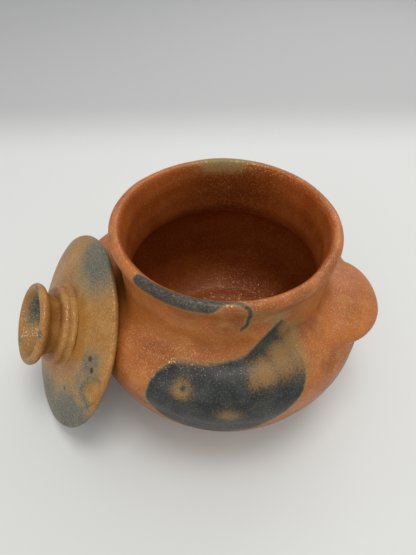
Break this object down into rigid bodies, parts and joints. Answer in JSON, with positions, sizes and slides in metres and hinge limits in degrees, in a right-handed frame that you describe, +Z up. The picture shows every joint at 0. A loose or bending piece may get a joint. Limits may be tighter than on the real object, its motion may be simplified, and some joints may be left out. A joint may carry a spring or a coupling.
{
  "type": "bean pot",
  "caption": "Round-bellied micaceous clay bean pot with a flared lip and two lugs, and a loose domed lid with a hollow cup knob leaning against it.",
  "frame": {"origin": "centre of the pot's flat base, on the surface that it stands on", "axes": "+Z up the pot's axis; the two lugs lie along X, and the lid leans on the side of -X and -Y"},
  "size_m": [0.2656, 0.2136, 0.146],
  "materials": {
    "pot_clay": "unglazed burnished micaceous clay",
    "lid_clay": "unglazed burnished micaceous clay"
  },
  "bodies": {
    "pot": {"pot_body": "pot_clay", "rim_coil": "pot_clay", "lug_right": "pot_clay", "lug_left": "pot_clay"},
    "lid": {"lid_disc": "lid_clay", "knob_collar": "lid_clay", "knob_cup": "lid_clay"}
  },
  "joints": [
    {"name": "lid_lift", "type": "slide", "parent": "pot", "child": "lid", "axis": [-0.6432, -0.5455, 0.5373], "range_m": [0, 0.2]}
  ]
}
